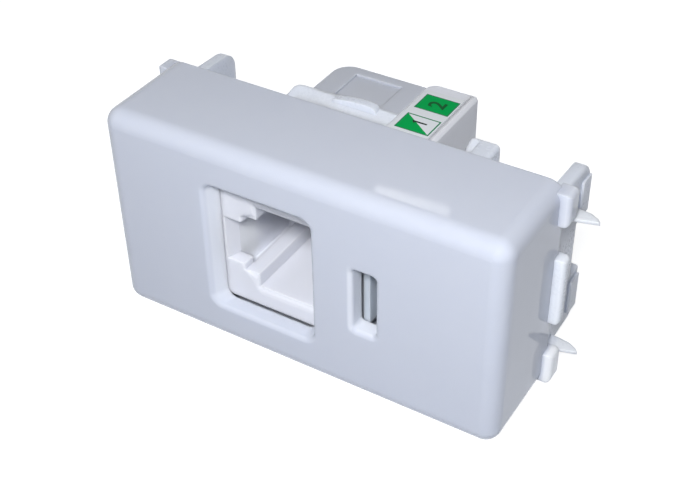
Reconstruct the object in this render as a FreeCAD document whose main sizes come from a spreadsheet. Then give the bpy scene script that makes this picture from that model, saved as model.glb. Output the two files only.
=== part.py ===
import FreeCAD, Part
import math
import os
import re
import Sketcher

# Telephone jack module: a snap-in cover with a modular jack clipped in behind it.
# Every body is drawn in millimetres with the front face at Y = 0, +X right, +Z up,
# and its Placement then moves the seating plane of the end stops to Y = 0.

DIMS = {
    # cover
    "seat": 12.5,
    "cover_wide": 45.0,
    "cover_high": 24.5,
    "cover_deep": 12.0,
    "cover_wall": 1.6,
    "face_wall": 1.9,
    "cover_edge_r": 1.75,
    "cover_back_edge": 0.25,
    "win_left": -10.4,
    "win_right": 2.3,
    "win_half": 7.55,
    "win_taper": 0.8,
    "win_corner_r": 1.1,
    "win_lip_r": 0.5,
    "slot_left": 6.75,
    "slot_right": 9.3,
    "slot_half": 3.7,
    "slot_corner_r": 0.45,
    "slot_lip_r": 0.55,
    "stop_in": 21.9,
    "stop_out": 23.55,
    "stop_front": 10.65,
    "stop_low": 8.05,
    "stop_top": 11.65,
    "stop_edge_r": 0.55,
    # carrier frame behind the cover
    "gap": 0.15,
    "plate_front": 10.0,
    "plate_back": 11.5,
    "hook_out": 23.65,
    "hook_front": 10.9,
    "hook_back": 12.3,
    "hook_half": 3.95,
    "hook_edge_r": 0.5,
    "well_half_x": 12.3,
    "well_half_z": 8.25,
    "well_wall_x": 1.1,
    "well_wall_z": 0.7,
    "well_front": 3.0,
    "well_back": 19.8,
    "catch_deep": 1.6,
    "ledge_left": -12.1,
    "ledge_right": 10.2,
    "ledge_front": 12.6,
    "ledge_foot": 17.9,
    "ledge_top": 19.5,
    "ledge_end_r": 0.5,
    "rim_left": -6.9,
    "rim_right": -1.6,
    "rim_high": 0.5,
    "tower_gap_left": 0.6,
    "tower_gap_right": 9.0,
    "tower_gap_front": 13.0,
    "leg_in": 19.6,
    "arm_in": 20.5,
    "arm_thick": 1.35,
    "arm_front": 12.6,
    "arm_root": 1.2,
    "arm_mid_back": 17.7,
    "arm_back": 20.2,
    "arm_gap_half": 3.5,
    "arm_half": 9.9,
    "arm_taper": 0.3,
    "arm_tip_r": 1.9,
    "arm_edge_r": 0.4,
    "pad_front": 17.9,
    "pad_low": 4.1,
    "pad_top": 8.3,
    "pad_high": 0.25,
    "barb_tip": 25.65,
    "barb_low_tip": 25.15,
    "barb_front": 12.6,
    "barb_deep": 1.7,
    "barb_thick": 0.35,
    "barb_z": 7.8,
    "barb_low_z": -8.7,
    # jack housing
    "jack_left": -10.1,
    "jack_right": 6.2,
    "jack_half": 7.5,
    "jack_front": 2.05,
    "head_back": 14.9,
    "jack_back": 19.8,
    "jack_corner_r": 1.0,
    "jack_edge_r": 0.2,
    "jack_wall": 1.15,
    "port_left": -5.65,
    "port_right": 1.05,
    "port_half": 5.05,
    "port_back": 14.3,
    "step_left": -7.3,
    "step_half": 3.45,
    "latch_half": 2.65,
    "latch_mouth_x": -9.45,
    "latch_wall_x": -8.85,
    "catch_back": 3.6,
    "pocket_back": 12.5,
    "lip_deep": 0.7,
    "lip_wide": 0.8,
    "nest_front": 3.3,
    "nest_top": 5.2,
    "nest_half": 4.6,
    "tongue_left": 6.85,
    "tongue_thick": 0.7,
    "tongue_half": 4.2,
    "tongue_front": 2.1,
    "tongue_root": 11.0,
    "tongue_hook": 1.2,
    "hook_end": 6.8,
    "lug_out": -10.9,
    # contacts, board and terminals
    "comb_gap": 0.1,
    "comb_front": 3.4,
    "comb_back": 14.8,
    "comb_edge": 0.35,
    "comb_slit": 0.58,
    "comb_slit_front": 3.9,
    "wire_thick": 0.34,
    "wire_wide": 0.46,
    "wire_pitch": 1.02,
    "wire_tail": -1.0,
    "wire_high": 4.3,
    "wire_bend_r": 0.6,
    "hairpin_r": 0.8,
    "hairpin_deep": 4.95,
    "wire_end_x": -1.0,
    "wire_end_deep": 12.4,
    "pin_row": 16.2,
    "pin_step": 1.4,
    "pin_hole_r": 0.35,
    "board_low": -0.6,
    "board_top": 1.0,
    "board_front": 15.1,
    "board_back": 24.9,
    "board_half": 6.9,
    "fork_first": 18.1,
    "fork_step": 4.2,
    "fork_z": 5.4,
    "fork_wide": 2.6,
    "fork_thick": 0.5,
    "fork_top": 5.2,
    "fork_slit": 0.36,
    "fork_hole_r": 0.5,
    "rear_left": -10.6,
    "rear_half": 8.0,
    "rear_back": 26.8,
    "rear_wall": 0.9,
    "rear_corner_r": 2.4,
    "rear_inner_r": 0.8,
    "rear_edge_r": 0.8,
    "panel_left": -7.6,
    "panel_right": -1.9,
    "panel_front": 20.3,
    "panel_back": 25.0,
    "panel_deep": 0.3,
    "tower_top": 6.1,
    "tower_front": 15.0,
    "tower_back": 26.0,
    "tower_half": 9.0,
    "tower_bay_half": 3.9,
    "tower_bay_back": 24.6,
    "tower_corner_r": 1.3,
    "tower_edge_r": 0.35,
    "wire_slot": 1.0,
    "inlet_half": 2.4,
    "cap_top": 6.8,
    "cap_edge": 0.3,
    "label_left": 1.5,
    "label_right": 5.95,
    "label_front": 16.0,
    "label_back": 24.4,
    "label_thick": 0.08,
}

doc = FreeCAD.newDocument("jack_module")
sheet = doc.addObject("Spreadsheet::Sheet", "Dims")
for row, (alias, size) in enumerate(DIMS.items(), 1):
    sheet.set(f"A{row}", alias)
    sheet.set(f"B{row}", str(size))
    sheet.setAlias(f"B{row}", alias)
doc.recompute()

NODES = []
ROLES = {"XY": "XY_Plane", "XZ": "XZ_Plane", "YZ": "YZ_Plane"}


def bound(text):
    """Expression text with every sheet name written as a reference to the sheet."""
    return re.sub(r"[a-z_]+", lambda m: f"Dims.{m[0]}" if m[0] in DIMS else m[0], str(text))


def new_body(name, shift_y="0", shift_z="0"):
    body = doc.addObject("PartDesign::Body", name)
    body.Label = name
    body.setExpression("Placement.Base.y", bound(f"{shift_y} - seat"))
    body.setExpression("Placement.Base.z", bound(shift_z))
    NODES.append(body)
    return body


def new_sketch(body, plane, at):
    """Sketch on an origin plane of the body, moved along that plane's world axis."""
    sketch = body.newObject("Sketcher::SketchObject", f"{body.Name}_profile")
    base = next(f for f in body.Origin.OriginFeatures if f.Role == ROLES[plane])
    sketch.AttachmentSupport = [(base, "")]
    sketch.MapMode = "FlatFace"
    sign = "-" if plane == "XZ" else ""
    sketch.setExpression("AttachmentOffset.Base.z", bound(f"{sign}({at})"))
    return sketch


def pin(sketch, geometry, end, along, across):
    """Tie a point to the sheet by its two distances from the sketch origin."""
    for kind, text in (("DistanceX", along), ("DistanceY", across)):
        number = sketch.addConstraint(Sketcher.Constraint(kind, -1, 1, geometry, end, 1.0))
        sketch.setExpression(f"Constraints[{number}]", bound(text))


def polygon(sketch, corners):
    first = sketch.GeometryCount
    count = len(corners)
    turns = [2 * math.pi * i / count for i in range(count)]
    spots = [FreeCAD.Vector(9 * math.cos(a), 9 * math.sin(a), 0) for a in turns]
    for start, stop in zip(spots, spots[1:] + spots[:1]):
        sketch.addGeometry(Part.LineSegment(start, stop))
    for i in range(count):
        before = first + (i - 1) % count
        sketch.addConstraint(Sketcher.Constraint("Coincident", before, 2, first + i, 1))
    for i, (along, across) in enumerate(corners):
        pin(sketch, first + i, 1, along, across)


def circle(sketch, along, across, radius):
    ring = sketch.addGeometry(Part.Circle(FreeCAD.Vector(1, 1, 0), FreeCAD.Vector(0, 0, 1), 1))
    pin(sketch, ring, 3, along, across)
    number = sketch.addConstraint(Sketcher.Constraint("Radius", ring, 1.0))
    sketch.setExpression(f"Constraints[{number}]", bound(radius))


def rect(left, right, low, high):
    return [(left, low), (right, low), (right, high), (left, high)]


def extrude(body, plane, low, high, outlines, cut=False, rings=()):
    """Pad or pocket between two places on the plane's world axis."""
    from_high = cut != (plane == "XZ")
    sketch = new_sketch(body, plane, high if from_high else low)
    for corners in outlines:
        polygon(sketch, corners)
    for ring in rings:
        circle(sketch, *ring)
    kind = "Pocket" if cut else "Pad"
    feature = body.newObject(f"PartDesign::{kind}", f"{body.Name}_{kind.lower()}")
    feature.Profile = sketch
    feature.setExpression("Length", bound(f"({high}) - ({low})"))
    return feature


def cut(body, plane, low, high, outlines, rings=()):
    return extrude(body, plane, low, high, outlines, True, rings)


def cut_loft(body, places, outlines):
    """Ruled pocket between outlines that lie at given depths behind the face."""
    sketches = []
    for place, corners in zip(places, outlines):
        sketch = new_sketch(body, "XZ", place)
        polygon(sketch, corners)
        sketches.append(sketch)
    loft = body.newObject("PartDesign::SubtractiveLoft", f"{body.Name}_loft")
    loft.Profile = sketches[0]
    loft.Sections = sketches[1:]
    loft.Ruled = True
    return loft


def soften(body, kind, size, wanted):
    """Fillet or chamfer the edges whose bounding box passes the test."""
    doc.recompute()
    base = body.Tip
    names = [f"Edge{i}" for i, e in enumerate(base.Shape.Edges, 1) if wanted(e.BoundBox)]
    feature = body.newObject(f"PartDesign::{kind}", f"{body.Name}_{kind.lower()}")
    feature.Base = (base, names)
    feature.setExpression("Radius" if kind == "Fillet" else "Size", bound(size))
    return feature


def near(value, *targets):
    return any(abs(value - target) < 0.02 for target in targets)


def runs(box, axis):
    """True for a straight edge along one axis."""
    lengths = {"x": box.XLength, "y": box.YLength, "z": box.ZLength}
    return lengths.pop(axis) > 0.05 and max(lengths.values()) < 0.01


def span(side, near_place, far_place):
    """Low and high end of a range on the negative ('-') or positive side."""
    return (f"-({far_place})", f"-({near_place})") if side else (near_place, far_place)


def between(first, second, share):
    """Outline that lies the given share of the way from the first one to the second."""
    return [tuple(f"({a}) * {1 - share} + ({b}) * {share}" for a, b in zip(p, q))
            for p, q in zip(first, second)]


D = DIMS


def build_cover():
    body = new_body("front_cover")
    edge = rect("-cover_wide/2", "cover_wide/2", "-cover_high/2", "cover_high/2")
    extrude(body, "XZ", "0", "cover_deep", [edge])
    soften(body, "Fillet", "cover_edge_r", lambda b: runs(b, "y") or near(b.YMax, 0))
    soften(body, "Chamfer", "cover_back_edge", lambda b: near(b.YMin, D["cover_deep"]))
    inner = rect("-cover_wide/2 + cover_wall", "cover_wide/2 - cover_wall",
                 "-cover_high/2 + cover_wall", "cover_high/2 - cover_wall")
    cut(body, "XZ", "face_wall", "cover_deep", [inner])
    # four end stops that seat against the mounting frame
    stops = []
    for side in ("", "-"):
        for end in ("", "-"):
            near_x, far_x = f"{side}stop_in", f"{side}stop_out"
            near_z, far_z = f"{end}stop_low", f"{end}stop_top"
            stops.append(rect(near_x, far_x, near_z, far_z))
    extrude(body, "XZ", "stop_front", "seat", stops)
    soften(body, "Fillet", "stop_edge_r",
           lambda b: near(abs(b.Center.x), D["stop_out"]) and not near(b.Center.y, D["seat"]))
    # tapered window with a rounded lip
    plan = [("win_left", "0"), ("win_right", "0"),
            ("win_right - win_taper", "face_wall"), ("win_left + win_taper", "face_wall")]
    cut(body, "XY", "-win_half", "win_half", [plan])
    mid_x = (D["win_left"] + D["win_right"]) / 2
    soften(body, "Fillet", "win_corner_r",
           lambda b: abs(b.Center.x - mid_x) < 7 and abs(b.Center.z) > 5
           and b.YMax < D["face_wall"] + 0.01 and b.YLength > 1)
    soften(body, "Fillet", "win_lip_r",
           lambda b: near(b.YMin, 0) and near(b.YMax, 0)
           and abs(b.Center.x - mid_x) < 7 and abs(b.Center.z) < 9)
    # release slot
    cut(body, "XZ", "0", "face_wall", [rect("slot_left", "slot_right", "-slot_half", "slot_half")])
    soften(body, "Fillet", "slot_corner_r",
           lambda b: runs(b, "y") and near(b.Center.x, D["slot_left"], D["slot_right"])
           and near(abs(b.Center.z), D["slot_half"]))
    soften(body, "Fillet", "slot_lip_r",
           lambda b: near(b.YMin, 0) and near(b.YMax, 0)
           and D["slot_left"] - 0.1 < b.Center.x < D["slot_right"] + 0.1)
    # openings in both end walls for the carrier's hooks
    for low, high in (("-cover_wide/2 - 1", "-cover_wide/2 + cover_wall + 1"),
                      ("cover_wide/2 - cover_wall - 1", "cover_wide/2 + 1")):
        opening = rect("hook_front", "cover_deep", "-hook_half - gap", "hook_half + gap")
        cut(body, "YZ", low, high, [opening])


def build_carrier():
    body = new_body("carrier_frame")
    plate = rect("-cover_wide/2 + cover_wall + gap", "cover_wide/2 - cover_wall - gap",
                 "-cover_high/2 + cover_wall + gap", "cover_high/2 - cover_wall - gap")
    extrude(body, "XZ", "plate_front", "plate_back", [plate])
    well = rect("-well_half_x", "well_half_x", "-well_half_z", "well_half_z")
    extrude(body, "XZ", "well_front", "well_back", [well])
    bore = rect("-well_half_x + well_wall_x", "well_half_x - well_wall_x",
                "-well_half_z + well_wall_z", "well_half_z - well_wall_z")
    cut(body, "XZ", "well_front", "well_back", [bore])
    # upper and lower walls: open windows that end in a ramp, gaps for the terminal block, a raised rim
    for side in ("", "-"):
        inner_z = f"{side}(well_half_z - well_wall_z)"
        outer_z = f"{side}(well_half_z + 1)"
        ramp = [("ledge_front", inner_z), ("ledge_foot", inner_z), ("ledge_top", f"{side}well_half_z"),
                ("ledge_top", outer_z), ("ledge_front", outer_z)]
        cut(body, "YZ", "-well_half_x - 1", "ledge_right", [ramp])
        low, high = span(side, "well_half_z - well_wall_z", "well_half_z + 1")
        rounded = ((0, 1.2), (0.15, 0.6), (0.6, 0.15), (1.2, 0), (1.2, -1))
        end = [(f"ledge_left + {along}", f"well_back - ({short})") for along, short in rounded]
        waste = [("-well_half_x - 1", "ledge_front"), ("ledge_left", "ledge_front"), *end,
                 ("-well_half_x - 1", "well_back + 1")]
        cut(body, "XY", low, high, [waste])
        low, high = span(side, "7", "well_half_z + 1")
        cut(body, "XY", low, high,
            [rect("tower_gap_left", "tower_gap_right", "tower_gap_front", "well_back + 1")])
    ends = (D["tower_gap_right"], D["well_half_x"])
    soften(body, "Fillet", "ledge_end_r",
           lambda b: b.XLength < 0.01 and near(b.XMin, *ends) and b.YLength > 0.2
           and b.YMax > D["ledge_top"] - 0.1 and abs(b.Center.z) > D["well_half_z"] - 0.6)
    for side in ("", "-"):
        crown = ((0, -1.2), (0, 0.05), (0.22, 0.55), (0.5, 0.95), (0.8, 1.0), (0.95, 0.7), (1, 0), (1, -1.2))
        rim = [(f"rim_left + {along} * (rim_right - rim_left)", f"{side}(well_half_z + {high} * rim_high)")
               for along, high in crown]
        extrude(body, "XZ", "ledge_top - 0.7", "well_back", [rim])
    # ledges that the jack's lug and latch hook bear on
    right = rect("tongue_left + tongue_thick + 0.6", "well_half_x - well_wall_x / 2",
                 "-tongue_half - 2.2", "tongue_half + 2.2")
    left = rect("-well_half_x + well_wall_x / 2", "jack_left - 0.2", "-jack_half + 1", "jack_half - 1")
    extrude(body, "XZ", "well_front", "well_front + catch_deep", [right, left])
    for side in ("-", ""):
        build_end_arm(body, side)


def build_end_arm(body, side):
    low, high = span(side, "leg_in", "cover_wide/2 - cover_wall - gap")
    extrude(body, "YZ", low, high, [rect("plate_front", "arm_front + arm_root", "-arm_half", "arm_half")])
    low, high = span(side, "leg_in", "arm_in + arm_thick")
    extrude(body, "YZ", low, high, [rect("arm_front", "arm_front + arm_root", "-arm_half", "arm_half")])
    low, high = span(side, "arm_in", "arm_in + arm_thick")
    tip, root = "arm_half - arm_taper", "arm_front + arm_root"
    fingers = [("arm_front", "-arm_half"), (root, "-arm_half"), ("arm_back", f"-({tip})"),
               ("arm_back", "-arm_gap_half"), ("arm_mid_back", "-arm_gap_half"),
               ("arm_mid_back", "arm_gap_half"), ("arm_back", "arm_gap_half"), ("arm_back", tip),
               (root, "arm_half"), ("arm_front", "arm_half")]
    extrude(body, "YZ", low, high, [fingers])
    sign = -1 if side else 1
    tip_z = D["arm_half"] - D["arm_taper"]
    soften(body, "Fillet", "arm_tip_r",
           lambda b: runs(b, "x") and sign * b.Center.x > D["arm_in"]
           and near(b.Center.y, D["arm_back"]) and near(abs(b.Center.z), tip_z))
    soften(body, "Fillet", "arm_edge_r",
           lambda b: near(sign * b.Center.x, D["arm_in"] + D["arm_thick"]) and b.XLength < 0.01
           and b.YLength > 4 and abs(b.Center.z) > tip_z)
    low, high = span(side, "leg_in + 0.4", "hook_out")
    hook = rect("hook_front", "hook_back", "-hook_half", "hook_half")
    extrude(body, "YZ", low, high, [hook])
    soften(body, "Fillet", "hook_edge_r", lambda b: near(sign * b.Center.x, D["hook_out"]))
    # raised pad on each finger, and a thin leaf-shaped barb
    low, high = span(side, "arm_in + 0.3", "arm_in + arm_thick + pad_high")
    pads = [rect("pad_front", "arm_back - arm_edge_r", f"{end}pad_low", f"{end}pad_top") for end in ("", "-")]
    extrude(body, "YZ", low, high, pads)
    leaf = ((0, 0.38), (-0.35, 0.62), (-1.2, 0.9), (-2.3, 1.0), (-4.6, 1.1), (-4.6, 0), (-2.0, 0.05))
    for tip, place in (("barb_tip", "barb_z"), ("barb_low_tip", "barb_low_z")):
        fin = [(f"{side}({tip} + {out})", f"barb_front + {back} * barb_deep") for out, back in leaf]
        extrude(body, "XY", f"{place} - barb_thick/2", f"{place} + barb_thick/2", [fin])


def build_housing():
    body = new_body("jack_housing")
    side_view = [("jack_left", "jack_front"), ("jack_right", "jack_front"), ("jack_right", "head_back"),
                 ("board_low", "head_back"), ("board_low", "jack_back"), ("jack_left", "jack_back")]
    extrude(body, "XY", "-jack_half", "jack_half", [side_view])
    soften(body, "Fillet", "jack_corner_r",
           lambda b: runs(b, "y") and near(b.Center.x, D["jack_left"], D["jack_right"]))
    soften(body, "Fillet", "jack_edge_r",
           lambda b: near(b.YMin, D["jack_front"]) and near(b.YMax, D["jack_front"]))
    # hollow behind the port, and the nest of the contact comb
    cut(body, "XZ", "head_back", "jack_back",
        [rect("jack_left + jack_wall", "board_low + 1", "-jack_half + jack_wall", "jack_half - jack_wall")])
    cut(body, "XZ", "nest_front", "head_back", [rect("port_right", "nest_top", "-nest_half", "nest_half")])
    # stepped plug opening
    port = rect("port_left", "port_right + 0.1", "-port_half", "port_half")
    cut(body, "XZ", "jack_front", "port_back", [port])
    step = rect("step_left", "port_left + 0.1", "-step_half", "step_half")
    cut(body, "XZ", "jack_front", "port_back", [step])
    pocket = rect("latch_wall_x", "step_left", "-port_half", "port_half")
    cut(body, "XZ", "catch_back", "pocket_back", [pocket])
    # latch entry between the two catches, with a slanted lead-in wall
    entry = [("latch_mouth_x", "jack_front"), ("step_left", "jack_front"),
             ("step_left", "catch_back"), ("latch_wall_x", "catch_back")]
    cut(body, "XY", "-latch_half", "latch_half", [entry])
    # rounded lip round the mouth
    mouth = [("step_left - 0.25", "-step_half + 0.2"), ("port_left - 0.55", "-port_half + 0.25"),
             ("port_left - 0.35", "-port_half - 0.45 * lip_wide"),
             ("port_left + 0.25", "-port_half - lip_wide"), ("port_right + 0.45", "-port_half - lip_wide"),
             ("port_right + 0.45", "port_half + lip_wide"), ("port_left + 0.25", "port_half + lip_wide"),
             ("port_left - 0.35", "port_half + 0.45 * lip_wide"),
             ("port_left - 0.55", "port_half - 0.25"), ("step_left - 0.25", "step_half - 0.2")]
    throat = [("step_left", "-step_half"), ("port_left", "-step_half"),
              ("port_left", "-port_half + 0.05"), ("port_left + 0.05", "-port_half"),
              ("port_right", "-port_half"), ("port_right", "port_half"),
              ("port_left + 0.05", "port_half"), ("port_left", "port_half - 0.05"),
              ("port_left", "step_half"), ("step_left", "step_half")]
    shares = ((0, 0), (0.1, 0.44), (0.35, 0.76), (1, 1))
    rings = [(f"jack_front + {deep} * lip_deep", between(mouth, throat, share)) for deep, share in shares]
    for (front, wide), (back, tight) in zip(rings, rings[1:]):
        cut_loft(body, [front, back], [wide, tight])
    # spring tongue with its hook, and the fixed lug opposite
    tongue = [("jack_right - 0.3", "tongue_root"), ("tongue_left", "tongue_root"),
              ("tongue_left", "tongue_front"), ("tongue_left + tongue_thick", "tongue_front"),
              ("tongue_left + tongue_thick", "well_front + catch_deep"),
              ("tongue_left + tongue_thick + tongue_hook", "well_front + catch_deep"),
              ("tongue_left + tongue_thick", "hook_end"),
              ("tongue_left + tongue_thick", "tongue_root + 2"), ("jack_right - 0.3", "tongue_root + 2.6")]
    extrude(body, "XY", "-tongue_half", "tongue_half", [tongue])
    lug = [("jack_left + 0.3", "well_front + catch_deep"), ("lug_out", "well_front + catch_deep"),
           ("lug_out", "well_front + catch_deep + 0.5"), ("jack_left + 0.3", "hook_end")]
    extrude(body, "XY", "-tongue_half", "tongue_half", [lug])


def wire_side(number):
    """Sideways place of a contact, counted in pitches from the middle."""
    return f"{number - 2.5} * wire_pitch"


def pin_place(number):
    return f"pin_row + {number % 2} * pin_step"


def build_comb():
    body = new_body("contact_comb")
    block = rect("port_right + comb_gap", "nest_top", "-nest_half + comb_gap", "nest_half - comb_gap")
    extrude(body, "XZ", "comb_front", "comb_back", [block])
    slits = []
    for number in range(1, 5):
        side = wire_side(number)
        slits.append(rect("port_right", "wire_high + wire_thick/2",
                          f"{side} - comb_slit/2", f"{side} + comb_slit/2"))
    cut(body, "XZ", "comb_slit_front", "comb_back", slits)
    soften(body, "Chamfer", "comb_edge", lambda b: runs(b, "z") and near(b.Center.y, D["comb_front"]))


def build_contact(number):
    """Formed spring strip: tail in the board, hairpin at the mouth, slanted blade in the port."""
    body = new_body(f"contact_{number}", shift_z=wire_side(number))
    row = D["pin_row"] + number % 2 * D["pin_step"]
    high, bend = D["wire_high"], D["wire_bend_r"]
    loop, deep = D["hairpin_r"], D["hairpin_deep"]
    spine = new_sketch(body, "XY", "0")
    out = FreeCAD.Vector(0, 0, 1)
    middle = FreeCAD.Vector(high - loop, deep, 0)
    tip = FreeCAD.Vector(D["wire_end_x"], D["wire_end_deep"], 0)
    away = tip - middle
    turn = math.atan2(away.y, away.x) + math.acos(loop / away.Length)
    leave = middle + FreeCAD.Vector(loop * math.cos(turn), loop * math.sin(turn), 0)
    corner = FreeCAD.Vector(high - bend, row - bend, 0)
    lines = [
        Part.LineSegment(FreeCAD.Vector(D["wire_tail"], row, 0), FreeCAD.Vector(high - bend, row, 0)),
        Part.ArcOfCircle(Part.Circle(corner, out, bend), 0, math.pi / 2),
        Part.LineSegment(FreeCAD.Vector(high, row - bend, 0), FreeCAD.Vector(high, deep, 0)),
        Part.ArcOfCircle(Part.Circle(middle, out, loop), turn, 2 * math.pi),
        Part.LineSegment(leave, tip),
    ]
    for line in lines:
        spine.addGeometry(line)
    for first, end, second, start in ((0, 2, 1, 2), (1, 1, 2, 1), (2, 2, 3, 2), (3, 1, 4, 1)):
        spine.addConstraint(Sketcher.Constraint("Tangent", first, end, second, start))
    spine.addConstraint(Sketcher.Constraint("Horizontal", 0))
    spine.addConstraint(Sketcher.Constraint("Vertical", 2))
    for arc, radius in ((1, "wire_bend_r"), (3, "hairpin_r")):
        place = spine.addConstraint(Sketcher.Constraint("Radius", arc, D[radius]))
        spine.setExpression(f"Constraints[{place}]", bound(radius))
    pin(spine, 0, 1, "wire_tail", pin_place(number))
    pin(spine, 4, 2, "wire_end_x", "wire_end_deep")
    for kind, line, end, text in (("DistanceX", 2, 1, "wire_high"), ("DistanceY", 3, 3, "hairpin_deep")):
        place = spine.addConstraint(Sketcher.Constraint(kind, -1, 1, line, end, D[text]))
        spine.setExpression(f"Constraints[{place}]", bound(text))
    section = new_sketch(body, "YZ", "wire_tail")
    middle_row = pin_place(number)
    polygon(section, rect(f"{middle_row} - wire_thick/2", f"{middle_row} + wire_thick/2",
                          "-wire_wide/2", "wire_wide/2"))
    pipe = body.newObject("PartDesign::AdditivePipe", f"{body.Name}_pipe")
    pipe.Profile = section
    pipe.Spine = (spine, [f"Edge{i}" for i in range(1, 6)])


def fork_places():
    """Depth and side of each terminal: two above, two below."""
    depths = [f"fork_first + {step} * fork_step" for step in (0, 1)]
    return [(deep, f"{side}fork_z") for side in ("", "-") for deep in depths]


def build_board():
    body = new_body("circuit_board")
    plan = rect("board_front", "board_back", "-board_half", "board_half")
    extrude(body, "YZ", "board_low", "board_top", [plan])
    holes = [(pin_place(n), wire_side(n), "pin_hole_r") for n in range(1, 5)]
    holes += [(deep, side, "fork_hole_r") for deep, side in fork_places()]
    cut(body, "YZ", "board_low", "board_top", [], holes)


def build_fork(number, deep, side):
    """Flat terminal fork with a wire slit and a solder pin, standing on the board."""
    body = new_body(f"terminal_fork_{number}", deep, side)
    half, slit = "fork_wide/2", "fork_slit/2"
    fork = [("board_low - 0.3", "-0.3"), ("board_low - 0.3", "0.3"), ("board_top", "0.3"),
            ("board_top", half), ("fork_top", half), ("fork_top", "0.55"),
            ("fork_top - 0.7", slit), ("board_top + 1.2", slit),
            ("board_top + 1.2", f"-{slit}"), ("fork_top - 0.7", f"-{slit}"), ("fork_top", "-0.55"),
            ("fork_top", f"-{half}"), ("board_top", f"-{half}"), ("board_top", "-0.3")]
    extrude(body, "XY", "-fork_thick/2", "fork_thick/2", [fork])


def build_tower():
    body = new_body("terminal_block")
    plan = rect("tower_front", "tower_back", "-tower_half", "tower_half")
    extrude(body, "YZ", "board_top", "tower_top", [plan])
    soften(body, "Fillet", "tower_corner_r",
           lambda b: runs(b, "z") and near(b.Center.y, D["tower_back"]) and near(b.Center.x, D["board_top"]))
    soften(body, "Fillet", "tower_edge_r",
           lambda b: near(abs(b.Center.z), D["tower_half"])
           and not near(b.Center.x, D["tower_top"]) and b.ZLength < 0.01)
    bay = rect("tower_front - 1", "tower_bay_back", "-tower_bay_half", "tower_bay_half")
    cut(body, "YZ", "board_top", "tower_top", [bay])
    cut(body, "XZ", "tower_bay_back - 0.5", "tower_back + 0.5",
        [rect("board_top + 0.7", "tower_top", "-inlet_half", "inlet_half")])
    cells, ways = [], []
    for deep, side in fork_places():
        cells.append(rect(f"{deep} - fork_wide/2 - 0.2", f"{deep} + fork_wide/2 + 0.2",
                          f"{side} - fork_thick/2 - 0.15", f"{side} + fork_thick/2 + 0.15"))
        sign = "-" if side.startswith("-") else ""
        ways.append(rect(f"{deep} - wire_slot/2", f"{deep} + wire_slot/2",
                         f"{sign}(tower_bay_half - 0.5)", f"{sign}(tower_half - 0.8)"))
    cut(body, "YZ", "board_top", "fork_top + 0.1", cells)
    cut(body, "YZ", "board_top + 1.6", "tower_top", ways)


def build_cap():
    body = new_body("terminal_cap")
    plan = rect("tower_front", "tower_back", "-tower_half", "tower_half")
    extrude(body, "YZ", "tower_top", "cap_top", [plan])
    soften(body, "Fillet", "tower_edge_r", lambda b: runs(b, "x"))
    soften(body, "Chamfer", "cap_edge", lambda b: near(b.XMin, D["cap_top"]))
    rib = rect("tower_front + 1", "tower_bay_back - 0.2", "-tower_bay_half + 0.2", "tower_bay_half - 0.2")
    extrude(body, "YZ", "tower_top - 1", "tower_top", [rib])


def build_rear():
    body = new_body("rear_shell")
    outline = rect("rear_left", "board_top", "-rear_half", "rear_half")
    extrude(body, "XZ", "jack_back", "rear_back", [outline])
    soften(body, "Fillet", "rear_corner_r",
           lambda b: runs(b, "z") and near(b.Center.x, D["rear_left"]) and near(b.Center.y, D["rear_back"]))
    soften(body, "Fillet", "rear_edge_r",
           lambda b: near(abs(b.Center.z), D["rear_half"]) and b.ZLength < 0.01
           and not near(b.Center.x, D["board_top"]) and not near(b.Center.y, D["jack_back"]))
    soften(body, "Fillet", "rear_inner_r",
           lambda b: runs(b, "z") and near(b.Center.x, D["board_top"]) and near(b.Center.y, D["rear_back"]))
    hollow = rect("rear_left + rear_wall + 0.3", "board_top + 1",
                  "-rear_half + rear_wall", "rear_half - rear_wall")
    cut(body, "XZ", "jack_back", "rear_back - rear_wall", [hollow])
    panel = rect("panel_left", "panel_right", "panel_front", "panel_back")
    for side in ("", "-"):
        low, high = span(side, "rear_half - panel_deep", "rear_half + 0.5")
        cut(body, "XY", low, high, [panel])


def build_label():
    body = new_body("wire_label")
    sheet_outline = rect("label_left", "label_right", "label_front", "label_back")
    extrude(body, "XY", "tower_half", "tower_half + label_thick", [sheet_outline])


build_cover()
build_carrier()
build_housing()
build_comb()
for number in range(1, 5):
    build_contact(number)
build_board()
for number, (deep, side) in enumerate(fork_places(), 1):
    build_fork(number, deep, side)
build_tower()
build_cap()
build_rear()
build_label()

doc.recompute()
for item in doc.Objects:
    if {"Invalid", "Error"} & set(item.State):
        raise RuntimeError(f"{item.Name} did not build")
os.makedirs("parts", exist_ok=True)
for body in NODES:
    if body.Shape.isNull() or not body.Shape.isValid() or len(body.Shape.Solids) != 1:
        raise RuntimeError(f"{body.Label} is not one valid solid")
    body.Shape.exportStep(f"parts/{body.Label}.step")
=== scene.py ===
import math

import bmesh
import bpy
from mathutils import Matrix, Quaternion, Vector


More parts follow.
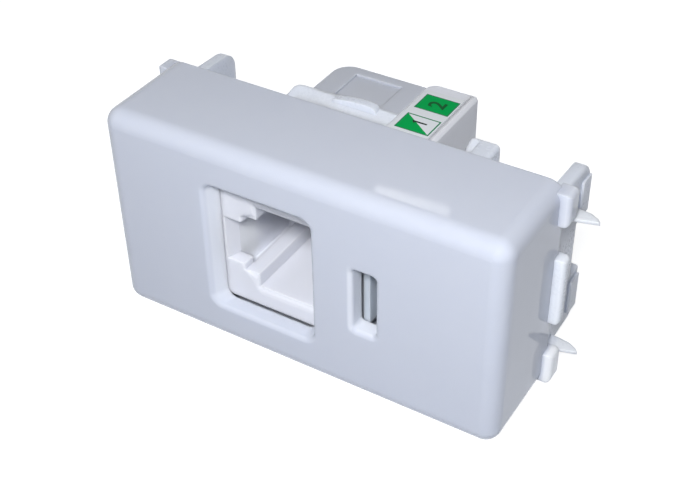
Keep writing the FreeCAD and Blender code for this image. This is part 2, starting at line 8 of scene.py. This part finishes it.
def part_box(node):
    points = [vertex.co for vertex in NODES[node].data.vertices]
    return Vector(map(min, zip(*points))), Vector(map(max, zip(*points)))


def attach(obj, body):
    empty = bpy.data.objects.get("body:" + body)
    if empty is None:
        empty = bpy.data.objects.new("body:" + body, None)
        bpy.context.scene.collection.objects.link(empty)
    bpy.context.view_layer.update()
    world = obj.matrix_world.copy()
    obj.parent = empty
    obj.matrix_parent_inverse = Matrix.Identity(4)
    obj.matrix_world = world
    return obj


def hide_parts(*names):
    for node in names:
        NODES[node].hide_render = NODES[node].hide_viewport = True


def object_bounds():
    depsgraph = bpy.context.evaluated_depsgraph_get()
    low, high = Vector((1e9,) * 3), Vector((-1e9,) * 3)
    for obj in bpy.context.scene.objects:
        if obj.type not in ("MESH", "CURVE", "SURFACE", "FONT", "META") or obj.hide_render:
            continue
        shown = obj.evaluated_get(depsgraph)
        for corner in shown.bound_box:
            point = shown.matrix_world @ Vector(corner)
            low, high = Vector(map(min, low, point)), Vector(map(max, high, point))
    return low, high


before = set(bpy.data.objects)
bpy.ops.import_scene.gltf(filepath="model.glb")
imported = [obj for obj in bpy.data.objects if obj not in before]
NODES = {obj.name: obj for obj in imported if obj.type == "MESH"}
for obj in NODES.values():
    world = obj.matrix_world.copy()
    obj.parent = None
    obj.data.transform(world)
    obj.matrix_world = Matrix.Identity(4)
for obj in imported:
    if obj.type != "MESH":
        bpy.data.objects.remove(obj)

# Telephone jack module: the CAD solids keep their shapes and get their finishes here. The print of
# the wire label is laid on top of it, and round wires take the place of the port's contact solids.
# Lengths are in millimetres unless a line says otherwise.

CAD_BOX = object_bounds()
MM = 0.001
WHITE = (1.0, 1.0, 1.0, 1.0)


class Wire:
    """An output socket; arithmetic on it adds Math nodes to its tree."""

    def __init__(self, paint, socket):
        self.paint = paint
        self.socket = socket

    def maths(self, operation, first, second):
        return self.paint.add("ShaderNodeMath", {"operation": operation}, {0: first, 1: second})

    def __add__(self, other):
        return self.maths("ADD", self, other)

    def __radd__(self, other):
        return self.maths("ADD", other, self)

    def __sub__(self, other):
        return self.maths("SUBTRACT", self, other)

    def __rsub__(self, other):
        return self.maths("SUBTRACT", other, self)

    def __mul__(self, other):
        return self.maths("MULTIPLY", self, other)

    def __rmul__(self, other):
        return self.maths("MULTIPLY", other, self)

    def __truediv__(self, other):
        return self.maths("DIVIDE", self, other)

    def larger(self, other):
        return self.maths("MAXIMUM", self, other)

    def smaller(self, other):
        return self.maths("MINIMUM", self, other)

    def size(self):
        """The value without its sign."""
        return self.maths("ABSOLUTE", self, 0.0)

    def rise(self, low, high):
        """0 up to the first level, 1 from the second on."""
        return ((self - low) / (high - low)).larger(0.0).smaller(1.0)

    def fall(self, low, high):
        """1 up to the first level, 0 from the second on."""
        return 1.0 - self.rise(low, high)


class Paint:
    """A node tree that is filled through one method."""

    # Places of a Mix node's colour sockets, which have the same names as its other sockets.
    MIX_FACTOR, MIX_FIRST, MIX_SECOND, MIX_RESULT = 0, 6, 7, 2

    def __init__(self, tree):
        self.tree = tree
        tree.nodes.clear()

    def add(self, kind, settings=None, sockets=None, out=0):
        """A node of that type, with its settings made first and then its sockets."""
        node = self.tree.nodes.new(kind)
        for name, value in (settings or {}).items():
            setattr(node, name, value)
        for key, value in (sockets or {}).items():
            if isinstance(value, Wire):
                self.tree.links.new(value.socket, node.inputs[key])
            else:
                node.inputs[key].default_value = value
        return Wire(self, node.outputs[out]) if node.outputs else node

    def place(self):
        """Object coordinates, in metres."""
        return self.add("ShaderNodeTexCoord", out="Object")

    def axes(self):
        """The three object coordinates."""
        where = self.place()
        return [self.add("ShaderNodeSeparateXYZ", None, {"Vector": where}, axis) / MM for axis in "XYZ"]

    def noise(self, size, detail=2.0, roughness=0.5):
        """Noise from 0 to 1, with lumps of about that size."""
        return self.add("ShaderNodeTexNoise", None, {
            "Vector": self.place(), "Scale": 1.0 / (size * MM), "Detail": detail, "Roughness": roughness})

    def mix(self, factor, first, second):
        """Colour mix."""
        sockets = {self.MIX_FACTOR: factor, self.MIX_FIRST: first, self.MIX_SECOND: second}
        return self.add("ShaderNodeMix", {"data_type": "RGBA"}, sockets, self.MIX_RESULT)


def rgb(red, green, blue):
    """Linear colour of a shade given as 0 to 255 on screen, by the sRGB curve."""
    def level(value):
        value /= 255.0
        return value / 12.92 if value < 0.04045 else ((value + 0.055) / 1.055) ** 2.4
    return (level(red), level(green), level(blue), 1.0)


def finish_material(name):
    """A new material and its empty tree."""
    material = bpy.data.materials.new(name)
    material.use_nodes = True
    return material, Paint(material.node_tree)


def surface(paint, sockets):
    """Closes a material with a Principled shader."""
    shader = paint.add("ShaderNodeBsdfPrincipled", None, sockets)
    paint.add("ShaderNodeOutputMaterial", None, {"Surface": shader})


# Each pair is the two levels between which painted light and painted shade come in or fade out.
BEHIND_FACE = (-12.4, -11.9)
OPENINGS_WIDE = (14.0, 16.0)
OPENINGS_HIGH = (9.5, 10.5)
LOWER_WALL = (-7.6, -6.4)
SLOT_LIP_LEFT = (6.15, 6.4)
SLOT_LIP_RIGHT = (6.68, 6.74)
SLOT_LIP_HIGH = (3.3, 4.3)
PAST_END_WALL = (22.5, 22.9)
PAST_JACK_FACE = (6.0, 6.6)
POCKET_WALL = (-8.75, -8.5)
POCKET_FRONT = (-9.0, -8.7)
POCKET_BACK = (-6.5, -3.0)
POCKET_TOP = (1.5, 3.8)

# Shares of the painted light that the walls, the slot lip and the stops of the cover take.
LOWER_WALL_SHARE = 0.135
UPPER_WALL_GAIN = 0.31
SLOT_LIP_SHARE = 0.28
STOP_SHARE = 0.55
STOP_SHARE_PER_MM = 0.035


def painted_light_on_openings_and_stops(paint):
    """Painted light: the walls of the window and the slot, the slot's lip and the end stops are painted
    lighter, for light that shines through the thin plastic there.
    """
    x, y, z = paint.axes()
    openings = y.rise(*BEHIND_FACE) * x.size().fall(*OPENINGS_WIDE) * z.size().fall(*OPENINGS_HIGH)
    walls = openings * (z.rise(*LOWER_WALL) * UPPER_WALL_GAIN + LOWER_WALL_SHARE)
    slot_lip = x.rise(*SLOT_LIP_LEFT) * x.fall(*SLOT_LIP_RIGHT) * z.size().fall(*SLOT_LIP_HIGH)
    stops = x.size().rise(*PAST_END_WALL) * (STOP_SHARE - z * STOP_SHARE_PER_MM)
    return walls.larger(slot_lip * SLOT_LIP_SHARE).larger(stops)


def painted_light_on_hooks(paint):
    """Painted light on the snap hooks, which stand out of the end walls: they are painted lighter."""
    return paint.axes()[0].size().rise(*PAST_END_WALL)


def painted_shade_on_tongue(paint):
    """Painted shade on the spring tongue behind the slot, to the right of the jack's face: it is painted
    darker, as it lies deep in the slot.
    """
    return paint.axes()[0].rise(*PAST_JACK_FACE)


def painted_light_in_pocket(paint):
    """Painted light on the wall of the pocket behind the latch catches, as far as light from the mouth
    reaches it.
    """
    x, y, z = paint.axes()
    near_mouth = y.rise(*POCKET_FRONT) * y.fall(*POCKET_BACK)
    return x.fall(*POCKET_WALL) * near_mouth * z.fall(*POCKET_TOP)


NOISE_MIDDLE = 0.5
FLOW_SHARE = 0.6
FLOW_ROUGHNESS = 0.05
SKIN_ROUGHNESS = 0.06
SKIN_DEPTH = 0.004
LIGHT_REACH = 1.2
MARK_ROUGHNESS = 0.12
MASK_SHARE = 0.5
MASK_ROUGHNESS = 0.35
WEAVE_ROUGHNESS = 0.1
WEAVE_DEPTH = 0.02
MOTTLE_SHARE = 0.5
MOTTLE_ROUGHNESS = 0.1


def moulded(name, body, shade, gloss, edge=0.12, painted_light_and_shade=()):
    """Injection-moulded plastic: soft flow shading, fine skin, edges eased by the mould.

    Light goes some way into it. Some places of a piece are painted lighter, standing in for light, and
    some darker, standing in for shade.
    """
    material, paint = finish_material(name)
    flow = paint.noise(size=9.0, detail=3.0)
    skin = paint.noise(size=0.30)
    eased = paint.add("ShaderNodeBevel", {"samples": 6}, {"Radius": edge * MM})
    colour = paint.mix(flow * FLOW_SHARE, body, shade)
    # Painted light and shade: each mask lays a lighter or darker colour on its place.
    for part, painted_colour in painted_light_and_shade:
        colour = paint.mix(part(paint), colour, painted_colour)
    height = paint.add("ShaderNodeBump", None, {
        "Strength": 0.06, "Distance": SKIN_DEPTH * MM, "Height": skin, "Normal": eased})
    roughness = gloss + (skin - NOISE_MIDDLE) * SKIN_ROUGHNESS + (flow - NOISE_MIDDLE) * FLOW_ROUGHNESS
    surface(paint, {"Base Color": colour, "Roughness": roughness, "IOR": 1.33, "Normal": height,
                    "Subsurface Weight": 0.7, "Subsurface Radius": (1.0, 1.0, 1.0),
                    "Subsurface Scale": LIGHT_REACH * MM})
    return material


def plated(name, body, worn, roughness):
    """Plated metal with faint draw marks."""
    material, paint = finish_material(name)
    marks = paint.noise(size=0.5, detail=4.0, roughness=0.6)
    surface(paint, {"Base Color": paint.mix(marks, body, worn), "Metallic": 1.0,
                    "Roughness": roughness + marks * MARK_ROUGHNESS})
    return material


def laminate(name, body, shade):
    """Circuit board: solder mask over a fine glass weave."""
    material, paint = finish_material(name)
    weave = paint.noise(size=0.25, detail=1.0)
    mask = paint.noise(size=4.0)
    height = paint.add("ShaderNodeBump", None, {
        "Strength": 0.1, "Distance": WEAVE_DEPTH * MM, "Height": weave})
    surface(paint, {"Base Color": paint.mix(mask * MASK_SHARE, body, shade),
                    "Roughness": MASK_ROUGHNESS + weave * WEAVE_ROUGHNESS, "Normal": height})
    return material


def printed(name, body, shade, roughness):
    """Ink or label stock with the slight mottle of print."""
    material, paint = finish_material(name)
    mottle = paint.noise(size=0.35, detail=3.0, roughness=0.6)
    surface(paint, {"Base Color": paint.mix(mottle * MOTTLE_SHARE, body, shade),
                    "Roughness": roughness + (mottle - NOISE_MIDDLE) * MOTTLE_ROUGHNESS,
                    "Specular IOR Level": 0.06})
    return material


# The cover's window and slot walls, slot lip and end stops get painted light.
COVER = moulded("cover_plastic", rgb(197, 202, 215), rgb(193, 199, 213), gloss=0.04,
                painted_light_and_shade=[(painted_light_on_openings_and_stops, rgb(240, 243, 248))])
# The carrier's snap hooks get painted light.
CARRIER = moulded("carrier_plastic", rgb(213, 218, 229), rgb(208, 214, 226), gloss=0.28,
                  painted_light_and_shade=[(painted_light_on_hooks, rgb(224, 229, 238))])
# The jack's tongue in the slot gets painted shade, and the wall of its latch pocket gets painted light.
JACK = moulded("jack_plastic", rgb(219, 221, 229), rgb(214, 217, 226), gloss=0.30, edge=0.2,
               painted_light_and_shade=[(painted_shade_on_tongue, rgb(186, 194, 204)), (painted_light_in_pocket, rgb(240, 243, 252))])
COMB = moulded("comb_plastic", rgb(222, 222, 224), rgb(214, 214, 216), gloss=0.34)
BLOCK = moulded("block_plastic", rgb(224, 226, 235), rgb(219, 222, 231), gloss=0.30)
REAR = moulded("rear_plastic", rgb(190, 194, 204), rgb(186, 190, 201), gloss=0.30)
GOLD = plated("contact_gold", rgb(236, 196, 106), rgb(214, 168, 84), roughness=0.20)
TIN = plated("fork_tin", rgb(206, 206, 204), rgb(184, 185, 186), roughness=0.26)
BOARD = laminate("board_laminate", rgb(22, 92, 58), rgb(36, 118, 74))
STOCK = printed("label_stock", rgb(222, 226, 230), rgb(214, 218, 224), roughness=0.42)
GREEN = printed("label_green", rgb(0, 158, 78), rgb(0, 150, 66), roughness=0.55)
RIM = printed("label_rim", rgb(48, 126, 88), rgb(40, 118, 80), roughness=0.55)
BLACK = printed("label_black", rgb(30, 42, 38), rgb(22, 34, 30), roughness=0.42)
DEEP = printed("label_deep_green", rgb(0, 84, 40), rgb(0, 74, 32), roughness=0.42)

FINISHES = {"front_cover": COVER, "carrier_frame": CARRIER, "jack_housing": JACK, "contact_comb": COMB,
            "circuit_board": BOARD, "terminal_block": BLOCK, "terminal_cap": BLOCK, "rear_shell": REAR,
            "wire_label": STOCK}
for number in range(1, 5):
    FINISHES[f"contact_{number}"] = GOLD
    FINISHES[f"terminal_fork_{number}"] = TIN


def dress(mesh, material):
    """Gives a mesh that material alone."""
    mesh.materials.clear()
    mesh.materials.append(material)


for name, material in FINISHES.items():
    dress(NODES[name].data, material)


def add_object(name, data):
    """A new object in the scene, at the origin."""
    holder = bpy.data.objects.new(name, data)
    bpy.context.scene.collection.objects.link(holder)
    return holder


def add_piece(name, mesh, material):
    """A visible piece that rides on the part."""
    dress(mesh, material)
    piece = add_object(name, mesh)
    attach(piece, "root")
    return piece


def bake(holder):
    """Plain mesh of what an object shows; the object goes."""
    bpy.context.view_layer.update()
    depsgraph = bpy.context.evaluated_depsgraph_get()
    mesh = bpy.data.meshes.new_from_object(holder.evaluated_get(depsgraph))
    bpy.data.objects.remove(holder)
    return mesh


MERGE_REACH = 0.001


def flat_shapes(name, outlines, low, high):
    """Flat pieces with those outlines between two heights; outlines that touch become one."""
    grid = bmesh.new()
    for outline in outlines:
        grid.faces.new([grid.verts.new((x * MM, y * MM, low * MM)) for x, y in outline])
    bmesh.ops.remove_doubles(grid, verts=grid.verts, dist=MERGE_REACH * MM)
    lift = bmesh.ops.extrude_face_region(grid, geom=grid.faces[:])
    moved = [v for v in lift["geom"] if isinstance(v, bmesh.types.BMVert)]
    bmesh.ops.translate(grid, verts=moved, vec=(0, 0, (high - low) * MM))
    bmesh.ops.recalc_face_normals(grid, faces=grid.faces)
    mesh = bpy.data.meshes.new(name)
    grid.to_mesh(mesh)
    grid.free()
    return mesh


# The label's two fields, each as left, front, right and back. Depths are counted from the cover's
# face, which lies SEAT in front of the seating plane.
SEAT = 12.5
FIELDS = [(1.9, 16.5 - SEAT, 5.8, 19.45 - SEAT), (1.9, 20.68 - SEAT, 5.82, 23.62 - SEAT)]
LINE = 0.15
INK = 0.012
LABEL_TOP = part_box("wire_label")[1].z / MM
FIELD_TOP = LABEL_TOP + INK
NUMERAL_TOP = LABEL_TOP + 2 * INK
NUMERAL_ONE = [(3.0, 5.9), (4.72, 5.9), (4.72, 5.68), (3.34, 5.68), (3.46, 5.54), (3.3, 5.48)]
NUMERAL_SIZE = 2.6
NUMERAL_WEIGHT = 0.05


def corners(field, inset=0.0):
    """Corner points of a field, or of a smaller one inside it."""
    left, front, right, back = field
    return [(left + inset, front + inset), (right - inset, front + inset),
            (right - inset, back - inset), (left + inset, back - inset)]


def rim(field):
    """Four strips round a field."""
    outer = corners(field)
    inner = corners(field, LINE)
    return [[outer[i], outer[(i + 1) % 4], inner[(i + 1) % 4], inner[i]] for i in range(4)]


def half(field):
    """The front left half of a field, cut corner to corner."""
    front_left, front_right, _, back_left = corners(field, LINE)
    return [front_left, front_right, back_left]


def numeral_two(field):
    """The second position's numeral, read from the cap side, in the middle of its field."""
    curve = bpy.data.curves.new("numeral", "FONT")
    curve.body = "2"
    curve.size = NUMERAL_SIZE * MM
    curve.extrude = (NUMERAL_TOP - FIELD_TOP) / 2 * MM
    curve.offset = NUMERAL_WEIGHT * MM
    mesh = bake(add_object("numeral", curve))
    low = Vector(map(min, *[v.co for v in mesh.vertices]))
    high = Vector(map(max, *[v.co for v in mesh.vertices]))
    left, front, right, back = field
    middle = Vector(((left + right) / 2, (front + back) / 2, (FIELD_TOP + NUMERAL_TOP) / 2)) * MM
    mesh.transform(Matrix.Translation(-(low + high) / 2))
    mesh.transform(Matrix.Translation(middle) @ Matrix.Rotation(math.radians(90), 4, "Z"))
    return mesh


rims = flat_shapes("label_rims", rim(FIELDS[0]) + rim(FIELDS[1]), LABEL_TOP, FIELD_TOP)
add_piece("label_rims", rims, RIM)
fills = flat_shapes("label_fields", [half(FIELDS[0]), corners(FIELDS[1], LINE)], LABEL_TOP, FIELD_TOP)
add_piece("label_fields", fills, GREEN)
numeral_one = flat_shapes("label_numeral_1", [NUMERAL_ONE], FIELD_TOP, NUMERAL_TOP)
add_piece("label_numeral_1", numeral_one, BLACK)
add_piece("label_numeral_2", numeral_two(FIELDS[1]), DEEP)


# The contacts: two rows of tails in the board, and neighbours go to different rows.
WIRE_RADIUS = 0.17
WIRE_SIDES = 14
WIRE_PITCH = 1.02
BEND_RADIUS = 0.6
BEND_STEPS = 8
HAIRPIN_RADIUS = 0.8
TAIL_X = -1.0
TOP_X = 4.3
TIP = Vector((-1.0, 12.4 - SEAT))
HAIRPIN = Vector((TOP_X - HAIRPIN_RADIUS, 4.95 - SEAT))
PIN_ROWS = (17.6 - SEAT, 16.2 - SEAT)
PAIRS = 2
FIRST_PITCHES = -1.5
PAIR_PITCHES = 2.0


def hairpin_corner():
    """Where the line of the blade, which leaves the hairpin as a tangent, meets the upper run."""
    away = TIP - HAIRPIN
    heading = math.atan2(away.y, away.x) + math.asin(HAIRPIN_RADIUS / away.length)
    return Vector((TOP_X, TIP.y + (TOP_X - TIP.x) * math.tan(heading)))


def spring_paths():
    """Corner points of two neighbouring contacts; each point's radius is its bend."""
    curve = bpy.data.curves.new("spring_paths", "CURVE")
    curve.dimensions = "3D"
    for step, row in enumerate(PIN_ROWS):
        turns = [(Vector((TAIL_X, row)), 0.0), (Vector((TOP_X, row)), BEND_RADIUS),
                 (hairpin_corner(), HAIRPIN_RADIUS), (TIP, 0.0)]
        spline = curve.splines.new("POLY")
        spline.points.add(len(turns) - 1)
        for point, (place, bend) in zip(spline.points, turns):
            point.co = (place.x * MM, place.y * MM, step * WIRE_PITCH * MM, 1.0)
            point.radius = bend * MM
    return curve


def spring_tree():
    """Bends each path, sweeps a round wire along it and sets the pair out across the comb."""
    tree = bpy.data.node_groups.new("contact_springs", "GeometryNodeTree")
    inputs = {}
    for name, kind in (("Paths", "Geometry"), ("Wire radius", "Float"), ("Pitch", "Float"),
                       ("Pairs", "Int"), ("Finish", "Material")):
        inputs[name] = tree.interface.new_socket(name, in_out="INPUT", socket_type=f"NodeSocket{kind}")
    tree.interface.new_socket("Springs", in_out="OUTPUT", socket_type="NodeSocketGeometry")
    paint = Paint(tree)
    paths, wire, pitch, pairs, finish = [paint.add("NodeGroupInput", out=name) for name in inputs]
    bends = paint.add("GeometryNodeInputRadius")
    bent = paint.add("GeometryNodeFilletCurve", {"mode": "POLY"}, {
        "Curve": paths, "Radius": bends, "Count": BEND_STEPS})
    even = paint.add("GeometryNodeSetCurveRadius", None, {"Curve": bent, "Radius": 1.0})
    section = paint.add("GeometryNodeCurvePrimitiveCircle", None, {
        "Resolution": WIRE_SIDES, "Radius": wire})
    swept = paint.add("GeometryNodeCurveToMesh", None, {
        "Curve": even, "Profile Curve": section, "Fill Caps": True})
    smooth = paint.add("GeometryNodeSetShadeSmooth", None, {"Geometry": swept})
    first = paint.add("ShaderNodeCombineXYZ", None, {"Z": pitch * FIRST_PITCHES})
    apart = paint.add("ShaderNodeCombineXYZ", None, {"Z": pitch * PAIR_PITCHES})
    places = paint.add("GeometryNodeMeshLine", None, {
        "Count": pairs, "Start Location": first, "Offset": apart})
    spread = paint.add("GeometryNodeInstanceOnPoints", None, {"Points": places, "Instance": smooth})
    solid = paint.add("GeometryNodeRealizeInstances", None, {"Geometry": spread})
    dressed = paint.add("GeometryNodeSetMaterial", None, {"Geometry": solid, "Material": finish})
    paint.add("NodeGroupOutput", None, {"Springs": dressed})
    return tree, inputs


def contact_springs():
    """Mesh of the four spring contacts."""
    holder = add_object("contact_springs", spring_paths())
    modifier = holder.modifiers.new("springs", "NODES")
    modifier.node_group, inputs = spring_tree()
    values = {"Wire radius": WIRE_RADIUS * MM, "Pitch": WIRE_PITCH * MM, "Pairs": PAIRS, "Finish": GOLD}
    for name, value in values.items():
        modifier[inputs[name].identifier] = value
    return bake(holder)


springs = add_piece("contact_springs", contact_springs(), GOLD)
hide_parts(*[f"contact_{number}" for number in range(1, 5)])


def aim(holder, place, target, roll):
    """Puts an object at a place with its -Z at the target, rolled about that line by some degrees."""
    start, end = Vector(place) * MM, Vector(target) * MM
    holder.location = start
    holder.rotation_mode = "QUATERNION"
    turn = (end - start).to_track_quat("-Z", "Y")
    holder.rotation_quaternion = turn @ Quaternion((0, 0, 1), math.radians(roll))


CAMERA_PLACE = (54.10, -89.52, 78.01)
CAMERA_TARGET = (2.92, -8.48, 2.32)
CAMERA_ROLL = -1.126
FRAME_PIXELS = 678
FOCAL_PIXELS = 1249.8
SENSOR_WIDTH = 36.0
NEAREST_SEEN = 1.0
lens = bpy.data.cameras.new("camera")
lens.sensor_width = SENSOR_WIDTH
lens.lens = FOCAL_PIXELS / FRAME_PIXELS * SENSOR_WIDTH
lens.clip_start = NEAREST_SEEN * MM
camera = add_object("camera", lens)
aim(camera, CAMERA_PLACE, CAMERA_TARGET, CAMERA_ROLL)
bpy.context.scene.camera = camera


def seen_directly(paint):
    """1 for rays from the camera, and for what mirrors and glass show."""
    kinds = ("Is Camera Ray", "Is Glossy Ray", "Is Transmission Ray")
    eye, mirror, glass = [paint.add("ShaderNodeLightPath", out=kind) for kind in kinds]
    return eye.larger(mirror).larger(glass)


AMBIENT_LEVEL = 0.04
AMBIENT_TINT = (0.75, 0.86, 1.0, 1.0)
world = bpy.data.worlds.new("studio")
world.use_nodes = True
bpy.context.scene.world = world
paint = Paint(world.node_tree)
direct = seen_directly(paint)
sky = paint.add("ShaderNodeBackground", None, {
    "Color": paint.mix(direct, AMBIENT_TINT, WHITE),
    "Strength": direct * (1.0 - AMBIENT_LEVEL) + AMBIENT_LEVEL})
paint.add("ShaderNodeOutputWorld", None, {"Surface": sky})

FLOOR_REACH = 1500.0
FLOOR_SHADE = (0.32, 0.34, 0.38, 1.0)
FLOOR_GLOW = 0.90
ground = CAD_BOX[0].z
ends = (-FLOOR_REACH * MM, FLOOR_REACH * MM)
floor_mesh = bpy.data.meshes.new("floor")
floor_mesh.from_pydata([(x, y, ground) for x in ends for y in ends], [], [(0, 2, 3, 1)])
floor = add_object("floor", floor_mesh)
material, paint = finish_material("pale_floor")
matt = paint.add("ShaderNodeBsdfDiffuse", None, {"Color": FLOOR_SHADE})
glow = paint.add("ShaderNodeEmission", None, {
    "Color": WHITE, "Strength": seen_directly(paint) * FLOOR_GLOW})
both = paint.add("ShaderNodeAddShader", None, {0: matt, 1: glow})
paint.add("ShaderNodeOutputMaterial", None, {"Surface": both})
dress(floor_mesh, material)


def lamp_panel(name, place, target, size, watts, shape="RECTANGLE", roll=0.0):
    """A flat lamp of that width and length, turned to the target; the camera doesn't see it."""
    lamp = bpy.data.lights.new(name, "AREA")
    lamp.shape = shape
    lamp.size, lamp.size_y = [length * MM for length in size]
    lamp.energy = watts
    holder = add_object(name, lamp)
    aim(holder, place, target, roll)
    holder.visible_camera = False
    return holder


key = lamp_panel("key_light", place=(53, -120, 125), target=(4, -6, 0), size=(38, 38), watts=0.392,
                 shape="ELLIPSE")
key.visible_glossy = False
# The strip shows only as the bright streak along the cover's top edge.
strip = lamp_panel("ceiling_strip", place=(-60.4, 124.9, 124.3), target=(12.0, -10.5, 12.25),
                   size=(2.6, 18.5), watts=0.00064, roll=74.4)
strip.visible_diffuse = False
back = lamp_panel("back_fill", place=(-40, 150, 2), target=(0, 5, 0), size=(60, 24), watts=0.11)
back.visible_glossy = False

view = bpy.context.scene.view_settings
view.view_transform = "Standard"
